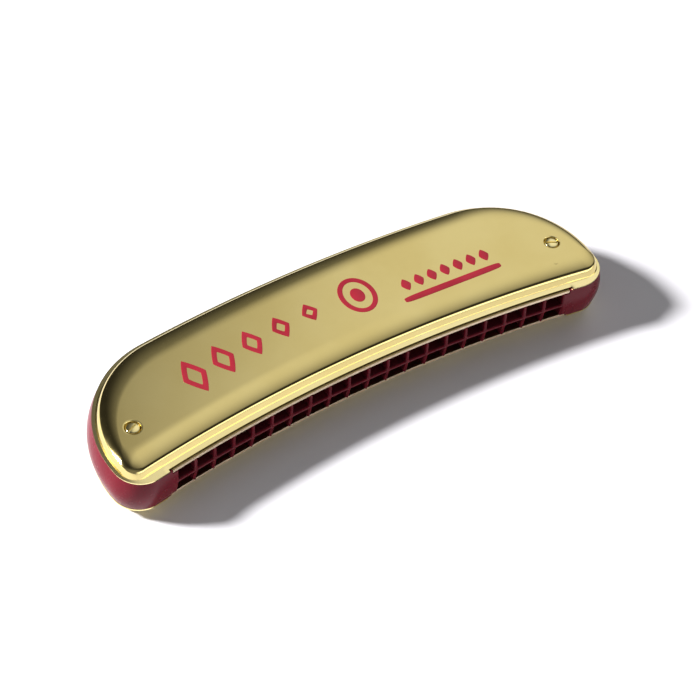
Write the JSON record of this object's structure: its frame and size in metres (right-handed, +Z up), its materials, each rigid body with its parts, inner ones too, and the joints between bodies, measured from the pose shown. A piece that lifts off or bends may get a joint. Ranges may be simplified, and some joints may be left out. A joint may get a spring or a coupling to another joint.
{
  "type": "octave harmonica",
  "caption": "Curved octave harmonica with a moulded comb, slotted reed plates, free reeds that swing, and pressed gold-finished covers open at the back.",
  "frame": {"origin": "on the flat face of the lower cover that it rests on, under the middle of the overall outline", "axes": "+X along the length towards the player's right (high notes), +Y from the mouth edge to the back, +Z up out of the upper cover"},
  "size_m": [0.1632, 0.0456, 0.0194],
  "materials": {
    "red_plastic": "polished dark red moulding",
    "gold_cover": "mirror-polished gold plate",
    "plate_brass": "milled brass",
    "reed_brass": "ground reed brass",
    "gold_fastener": "bright gold plate"
  },
  "bodies": {
    "instrument": {"comb": "red_plastic", "upper_cover": "gold_cover", "lower_cover": "gold_cover", "upper_reed_plate": "plate_brass", "lower_reed_plate": "plate_brass", "cover_screw_left": "gold_fastener", "cover_nut_left": "gold_fastener", "cover_screw_right": "gold_fastener", "cover_nut_right": "gold_fastener", "upper_plate_screw_1": "plate_brass", "lower_plate_screw_1": "plate_brass", "upper_plate_screw_2": "plate_brass", "lower_plate_screw_2": "plate_brass", "upper_plate_screw_3": "plate_brass", "lower_plate_screw_3": "plate_brass", "upper_plate_screw_4": "plate_brass", "lower_plate_screw_4": "plate_brass", "upper_plate_screw_5": "plate_brass", "lower_plate_screw_5": "plate_brass"},
    "reed_upper_01": {"reed_upper_01": "reed_brass"},
    "reed_lower_01": {"reed_lower_01": "reed_brass"},
    "reed_upper_02": {"reed_upper_02": "reed_brass"},
    "reed_lower_02": {"reed_lower_02": "reed_brass"},
    "reed_upper_03": {"reed_upper_03": "reed_brass"},
    "reed_lower_03": {"reed_lower_03": "reed_brass"},
    "reed_upper_04": {"reed_upper_04": "reed_brass"},
    "reed_lower_04": {"reed_lower_04": "reed_brass"},
    "reed_upper_05": {"reed_upper_05": "reed_brass"},
    "reed_lower_05": {"reed_lower_05": "reed_brass"},
    "reed_upper_06": {"reed_upper_06": "reed_brass"},
    "reed_lower_06": {"reed_lower_06": "reed_brass"},
    "reed_upper_07": {"reed_upper_07": "reed_brass"},
    "reed_lower_07": {"reed_lower_07": "reed_brass"},
    "reed_upper_08": {"reed_upper_08": "reed_brass"},
    "reed_lower_08": {"reed_lower_08": "reed_brass"},
    "reed_upper_09": {"reed_upper_09": "reed_brass"},
    "reed_lower_09": {"reed_lower_09": "reed_brass"},
    "reed_upper_10": {"reed_upper_10": "reed_brass"},
    "reed_lower_10": {"reed_lower_10": "reed_brass"},
    "reed_upper_11": {"reed_upper_11": "reed_brass"},
    "reed_lower_11": {"reed_lower_11": "reed_brass"},
    "reed_upper_12": {"reed_upper_12": "reed_brass"},
    "reed_lower_12": {"reed_lower_12": "reed_brass"},
    "reed_upper_13": {"reed_upper_13": "reed_brass"},
    "reed_lower_13": {"reed_lower_13": "reed_brass"},
    "reed_upper_14": {"reed_upper_14": "reed_brass"},
    "reed_lower_14": {"reed_lower_14": "reed_brass"},
    "reed_upper_15": {"reed_upper_15": "reed_brass"},
    "reed_lower_15": {"reed_lower_15": "reed_brass"},
    "reed_upper_16": {"reed_upper_16": "reed_brass"},
    "reed_lower_16": {"reed_lower_16": "reed_brass"},
    "reed_upper_17": {"reed_upper_17": "reed_brass"},
    "reed_lower_17": {"reed_lower_17": "reed_brass"},
    "reed_upper_18": {"reed_upper_18": "reed_brass"},
    "reed_lower_18": {"reed_lower_18": "reed_brass"},
    "reed_upper_19": {"reed_upper_19": "reed_brass"},
    "reed_lower_19": {"reed_lower_19": "reed_brass"},
    "reed_upper_20": {"reed_upper_20": "reed_brass"},
    "reed_lower_20": {"reed_lower_20": "reed_brass"}
  },
  "joints": [
    {"name": "reed_upper_01_swing", "type": "hinge", "parent": "instrument", "child": "reed_upper_01", "pos_m": [-0.06465, 0.00234, 0.01392], "axis": [-0.9912, -0.1321, 0], "range_deg": [-4, 4], "stiffness_Nm_per_rad": 0.002},
    {"name": "reed_lower_01_swing", "type": "hinge", "parent": "instrument", "child": "reed_lower_01", "pos_m": [-0.06465, 0.00234, 0.00548], "axis": [0.9912, 0.1321, 0], "range_deg": [-4, 4], "stiffness_Nm_per_rad": 0.002},
    {"name": "reed_upper_02_swing", "type": "hinge", "parent": "instrument", "child": "reed_upper_02", "pos_m": [-0.05585, -0.01379, 0.01533], "axis": [0.993, 0.1183, 0], "range_deg": [-4, 4], "stiffness_Nm_per_rad": 0.002},
    {"name": "reed_lower_02_swing", "type": "hinge", "parent": "instrument", "child": "reed_lower_02", "pos_m": [-0.05585, -0.01379, 0.00407], "axis": [-0.993, -0.1183, 0], "range_deg": [-4, 4], "stiffness_Nm_per_rad": 0.002},
    {"name": "reed_upper_03_swing", "type": "hinge", "parent": "instrument", "child": "reed_upper_03", "pos_m": [-0.05101, 0.00317, 0.01392], "axis": [-0.9945, -0.1044, 0], "range_deg": [-4, 4], "stiffness_Nm_per_rad": 0.002},
    {"name": "reed_lower_03_swing", "type": "hinge", "parent": "instrument", "child": "reed_lower_03", "pos_m": [-0.05101, 0.00317, 0.00548], "axis": [0.9945, 0.1044, 0], "range_deg": [-4, 4], "stiffness_Nm_per_rad": 0.002},
    {"name": "reed_upper_04_swing", "type": "hinge", "parent": "instrument", "child": "reed_upper_04", "pos_m": [-0.04275, -0.01241, 0.01533], "axis": [0.9959, 0.0905, 0], "range_deg": [-4, 4], "stiffness_Nm_per_rad": 0.002},
    {"name": "reed_lower_04_swing", "type": "hinge", "parent": "instrument", "child": "reed_lower_04", "pos_m": [-0.04275, -0.01241, 0.00407], "axis": [-0.9959, -0.0905, 0], "range_deg": [-4, 4], "stiffness_Nm_per_rad": 0.002},
    {"name": "reed_upper_05_swing", "type": "hinge", "parent": "instrument", "child": "reed_upper_05", "pos_m": [-0.03738, 0.00362, 0.01392], "axis": [-0.9971, -0.0766, 0], "range_deg": [-4, 4], "stiffness_Nm_per_rad": 0.002},
    {"name": "reed_lower_05_swing", "type": "hinge", "parent": "instrument", "child": "reed_lower_05", "pos_m": [-0.03738, 0.00362, 0.00548], "axis": [0.9971, 0.0766, 0], "range_deg": [-4, 4], "stiffness_Nm_per_rad": 0.002},
    {"name": "reed_upper_06_swing", "type": "hinge", "parent": "instrument", "child": "reed_upper_06", "pos_m": [-0.02962, -0.0114, 0.01533], "axis": [0.998, 0.0627, 0], "range_deg": [-4, 4], "stiffness_Nm_per_rad": 0.002},
    {"name": "reed_lower_06_swing", "type": "hinge", "parent": "instrument", "child": "reed_lower_06", "pos_m": [-0.02962, -0.0114, 0.00407], "axis": [-0.998, -0.0627, 0], "range_deg": [-4, 4], "stiffness_Nm_per_rad": 0.002},
    {"name": "reed_upper_07_swing", "type": "hinge", "parent": "instrument", "child": "reed_upper_07", "pos_m": [-0.02376, 0.00368, 0.01392], "axis": [-0.9988, -0.0488, 0], "range_deg": [-4, 4], "stiffness_Nm_per_rad": 0.002},
    {"name": "reed_lower_07_swing", "type": "hinge", "parent": "instrument", "child": "reed_lower_07", "pos_m": [-0.02376, 0.00368, 0.00548], "axis": [0.9988, 0.0488, 0], "range_deg": [-4, 4], "stiffness_Nm_per_rad": 0.002},
    {"name": "reed_upper_08_swing", "type": "hinge", "parent": "instrument", "child": "reed_upper_08", "pos_m": [-0.01646, -0.01076, 0.01533], "axis": [0.9994, 0.0349, 0], "range_deg": [-4, 4], "stiffness_Nm_per_rad": 0.002},
    {"name": "reed_lower_08_swing", "type": "hinge", "parent": "instrument", "child": "reed_lower_08", "pos_m": [-0.01646, -0.01076, 0.00407], "axis": [-0.9994, -0.0349, 0], "range_deg": [-4, 4], "stiffness_Nm_per_rad": 0.002},
    {"name": "reed_upper_09_swing", "type": "hinge", "parent": "instrument", "child": "reed_upper_09", "pos_m": [-0.01017, 0.00336, 0.01392], "axis": [-0.9998, -0.0209, 0], "range_deg": [-4, 4], "stiffness_Nm_per_rad": 0.002},
    {"name": "reed_lower_09_swing", "type": "hinge", "parent": "instrument", "child": "reed_lower_09", "pos_m": [-0.01017, 0.00336, 0.00548], "axis": [0.9998, 0.0209, 0], "range_deg": [-4, 4], "stiffness_Nm_per_rad": 0.002},
    {"name": "reed_upper_10_swing", "type": "hinge", "parent": "instrument", "child": "reed_upper_10", "pos_m": [-0.00329, -0.01048, 0.01533], "axis": [1, 0.007, 0], "range_deg": [-4, 4], "stiffness_Nm_per_rad": 0.002},
    {"name": "reed_lower_10_swing", "type": "hinge", "parent": "instrument", "child": "reed_lower_10", "pos_m": [-0.00329, -0.01048, 0.00407], "axis": [-1, -0.007, 0], "range_deg": [-4, 4], "stiffness_Nm_per_rad": 0.002},
    {"name": "reed_upper_11_swing", "type": "hinge", "parent": "instrument", "child": "reed_upper_11", "pos_m": [0.00338, 0.00267, 0.01392], "axis": [-1, 0.007, 0], "range_deg": [-4, 4], "stiffness_Nm_per_rad": 0.002},
    {"name": "reed_lower_11_swing", "type": "hinge", "parent": "instrument", "child": "reed_lower_11", "pos_m": [0.00338, 0.00267, 0.00548], "axis": [1, -0.007, 0], "range_deg": [-4, 4], "stiffness_Nm_per_rad": 0.002},
    {"name": "reed_upper_12_swing", "type": "hinge", "parent": "instrument", "child": "reed_upper_12", "pos_m": [0.00988, -0.01057, 0.01533], "axis": [0.9998, -0.0209, 0], "range_deg": [-4, 4], "stiffness_Nm_per_rad": 0.002},
    {"name": "reed_lower_12_swing", "type": "hinge", "parent": "instrument", "child": "reed_lower_12", "pos_m": [0.00988, -0.01057, 0.00407], "axis": [-0.9998, 0.0209, 0], "range_deg": [-4, 4], "stiffness_Nm_per_rad": 0.002},
    {"name": "reed_upper_13_swing", "type": "hinge", "parent": "instrument", "child": "reed_upper_13", "pos_m": [0.01689, 0.0016, 0.01392], "axis": [-0.9994, 0.0349, 0], "range_deg": [-4, 4], "stiffness_Nm_per_rad": 0.002},
    {"name": "reed_lower_13_swing", "type": "hinge", "parent": "instrument", "child": "reed_lower_13", "pos_m": [0.01689, 0.0016, 0.00548], "axis": [0.9994, -0.0349, 0], "range_deg": [-4, 4], "stiffness_Nm_per_rad": 0.002},
    {"name": "reed_upper_14_swing", "type": "hinge", "parent": "instrument", "child": "reed_upper_14", "pos_m": [0.02304, -0.01103, 0.01533], "axis": [0.9988, -0.0488, 0], "range_deg": [-4, 4], "stiffness_Nm_per_rad": 0.002},
    {"name": "reed_lower_14_swing", "type": "hinge", "parent": "instrument", "child": "reed_lower_14", "pos_m": [0.02304, -0.01103, 0.00407], "axis": [-0.9988, 0.0488, 0], "range_deg": [-4, 4], "stiffness_Nm_per_rad": 0.002},
    {"name": "reed_upper_15_swing", "type": "hinge", "parent": "instrument", "child": "reed_upper_15", "pos_m": [0.03035, 0.00015, 0.01392], "axis": [-0.998, 0.0627, 0], "range_deg": [-4, 4], "stiffness_Nm_per_rad": 0.002},
    {"name": "reed_lower_15_swing", "type": "hinge", "parent": "instrument", "child": "reed_lower_15", "pos_m": [0.03035, 0.00015, 0.00548], "axis": [0.998, -0.0627, 0], "range_deg": [-4, 4], "stiffness_Nm_per_rad": 0.002},
    {"name": "reed_upper_16_swing", "type": "hinge", "parent": "instrument", "child": "reed_upper_16", "pos_m": [0.03619, -0.01186, 0.01533], "axis": [0.9971, -0.0766, 0], "range_deg": [-4, 4], "stiffness_Nm_per_rad": 0.002},
    {"name": "reed_lower_16_swing", "type": "hinge", "parent": "instrument", "child": "reed_lower_16", "pos_m": [0.03619, -0.01186, 0.00407], "axis": [-0.9971, 0.0766, 0], "range_deg": [-4, 4], "stiffness_Nm_per_rad": 0.002},
    {"name": "reed_upper_17_swing", "type": "hinge", "parent": "instrument", "child": "reed_upper_17", "pos_m": [0.04373, -0.00167, 0.01392], "axis": [-0.9959, 0.0905, 0], "range_deg": [-4, 4], "stiffness_Nm_per_rad": 0.002},
    {"name": "reed_lower_17_swing", "type": "hinge", "parent": "instrument", "child": "reed_lower_17", "pos_m": [0.04373, -0.00167, 0.00548], "axis": [0.9959, -0.0905, 0], "range_deg": [-4, 4], "stiffness_Nm_per_rad": 0.002},
    {"name": "reed_upper_18_swing", "type": "hinge", "parent": "instrument", "child": "reed_upper_18", "pos_m": [0.04931, -0.01305, 0.01533], "axis": [0.9945, -0.1044, 0], "range_deg": [-4, 4], "stiffness_Nm_per_rad": 0.002},
    {"name": "reed_lower_18_swing", "type": "hinge", "parent": "instrument", "child": "reed_lower_18", "pos_m": [0.04931, -0.01305, 0.00407], "axis": [-0.9945, 0.1044, 0], "range_deg": [-4, 4], "stiffness_Nm_per_rad": 0.002},
    {"name": "reed_upper_19_swing", "type": "hinge", "parent": "instrument", "child": "reed_upper_19", "pos_m": [0.05704, -0.00386, 0.01392], "axis": [-0.993, 0.1183, 0], "range_deg": [-4, 4], "stiffness_Nm_per_rad": 0.002},
    {"name": "reed_lower_19_swing", "type": "hinge", "parent": "instrument", "child": "reed_lower_19", "pos_m": [0.05704, -0.00386, 0.00548], "axis": [0.993, -0.1183, 0], "range_deg": [-4, 4], "stiffness_Nm_per_rad": 0.002},
    {"name": "reed_upper_20_swing", "type": "hinge", "parent": "instrument", "child": "reed_upper_20", "pos_m": [0.06239, -0.01461, 0.01533], "axis": [0.9912, -0.1321, 0], "range_deg": [-4, 4], "stiffness_Nm_per_rad": 0.002},
    {"name": "reed_lower_20_swing", "type": "hinge", "parent": "instrument", "child": "reed_lower_20", "pos_m": [0.06239, -0.01461, 0.00407], "axis": [-0.9912, 0.1321, 0], "range_deg": [-4, 4], "stiffness_Nm_per_rad": 0.002}
  ],
  "couplings": [
    {"joint": "reed_lower_01_swing", "follows": "reed_upper_01_swing", "ratio": 1},
    {"joint": "reed_lower_02_swing", "follows": "reed_upper_02_swing", "ratio": 1},
    {"joint": "reed_lower_03_swing", "follows": "reed_upper_03_swing", "ratio": 1},
    {"joint": "reed_lower_04_swing", "follows": "reed_upper_04_swing", "ratio": 1},
    {"joint": "reed_lower_05_swing", "follows": "reed_upper_05_swing", "ratio": 1},
    {"joint": "reed_lower_06_swing", "follows": "reed_upper_06_swing", "ratio": 1},
    {"joint": "reed_lower_07_swing", "follows": "reed_upper_07_swing", "ratio": 1},
    {"joint": "reed_lower_08_swing", "follows": "reed_upper_08_swing", "ratio": 1},
    {"joint": "reed_lower_09_swing", "follows": "reed_upper_09_swing", "ratio": 1},
    {"joint": "reed_lower_10_swing", "follows": "reed_upper_10_swing", "ratio": 1},
    {"joint": "reed_lower_11_swing", "follows": "reed_upper_11_swing", "ratio": 1},
    {"joint": "reed_lower_12_swing", "follows": "reed_upper_12_swing", "ratio": 1},
    {"joint": "reed_lower_13_swing", "follows": "reed_upper_13_swing", "ratio": 1},
    {"joint": "reed_lower_14_swing", "follows": "reed_upper_14_swing", "ratio": 1},
    {"joint": "reed_lower_15_swing", "follows": "reed_upper_15_swing", "ratio": 1},
    {"joint": "reed_lower_16_swing", "follows": "reed_upper_16_swing", "ratio": 1},
    {"joint": "reed_lower_17_swing", "follows": "reed_upper_17_swing", "ratio": 1},
    {"joint": "reed_lower_18_swing", "follows": "reed_upper_18_swing", "ratio": 1},
    {"joint": "reed_lower_19_swing", "follows": "reed_upper_19_swing", "ratio": 1},
    {"joint": "reed_lower_20_swing", "follows": "reed_upper_20_swing", "ratio": 1}
  ]
}
